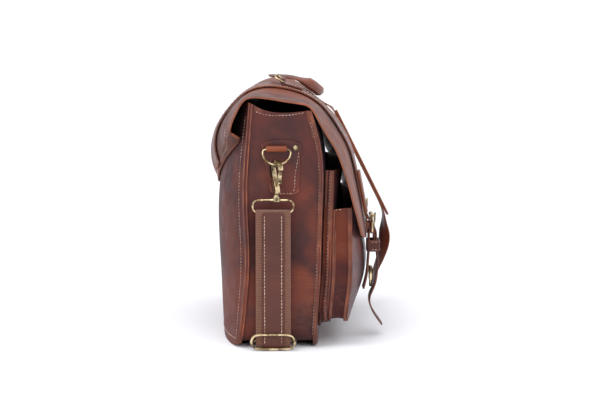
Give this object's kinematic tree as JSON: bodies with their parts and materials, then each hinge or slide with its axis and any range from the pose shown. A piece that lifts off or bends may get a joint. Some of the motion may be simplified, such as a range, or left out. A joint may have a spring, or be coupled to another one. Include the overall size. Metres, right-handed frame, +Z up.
{
  "type": "laptop messenger bag",
  "caption": "Leather laptop messenger bag with a domed flap, buckled straps, front pockets, a top handle and a clip-on shoulder strap.",
  "frame": {"origin": "middle of the footprint's box, on the floor that the bag stands on", "axes": "+X along the bag's width, from the near end that the picture shows to the far end; -Y is the front; +Z is up"},
  "size_m": [0.5768, 0.239, 0.3179],
  "materials": {
    "leather": "waxed pull-up leather, raw cut edges, cream stitching",
    "brass": "antique brass, dark in its recesses",
    "webbing": "cotton webbing, fine cross ribs"
  },
  "bodies": {
    "bag": {"back_panel": "leather", "front_panel": "leather", "gusset": "leather", "slip_gusset": "leather", "slip_front": "leather", "pocket_gusset": "leather", "pocket_front": "leather", "flap": "leather", "belt_near": "leather", "belt_far": "leather", "strip_near": "leather", "strip_far": "leather", "handle": "leather", "strap_band": "leather", "keeper_near": "leather", "lower_strap_near": "leather", "handle_tab_near": "leather", "ring_patch_near": "leather", "ring_loop_near": "leather", "keeper_far": "leather", "lower_strap_far": "leather", "handle_tab_far": "leather", "ring_patch_far": "leather", "ring_loop_far": "leather", "slider": "brass", "buckle_near": "brass", "lock_near": "brass", "handle_ring_near": "brass", "d_ring_near": "brass", "rivet_near": "brass", "hook_near": "brass", "swivel_loop_near": "brass", "buckle_far": "brass", "lock_far": "brass", "handle_ring_far": "brass", "d_ring_far": "brass", "rivet_far": "brass", "hook_far": "brass", "swivel_loop_far": "brass", "strap_webbing": "webbing"},
    "near_gate": {"gate_near": "brass"},
    "far_gate": {"gate_far": "brass"}
  },
  "joints": [
    {"name": "near_gate_hinge", "type": "hinge", "parent": "bag", "child": "near_gate", "pos_m": [-0.28215, 0.02797, 0.1928], "axis": [-0.5234, 0.8521, 0], "range_deg": [0, 18], "stiffness_Nm_per_rad": 0.02},
    {"name": "far_gate_hinge", "type": "hinge", "parent": "bag", "child": "far_gate", "pos_m": [0.15055, 0.02797, 0.1928], "axis": [-0.5234, -0.8521, 0], "range_deg": [0, 18], "stiffness_Nm_per_rad": 0.02}
  ]
}
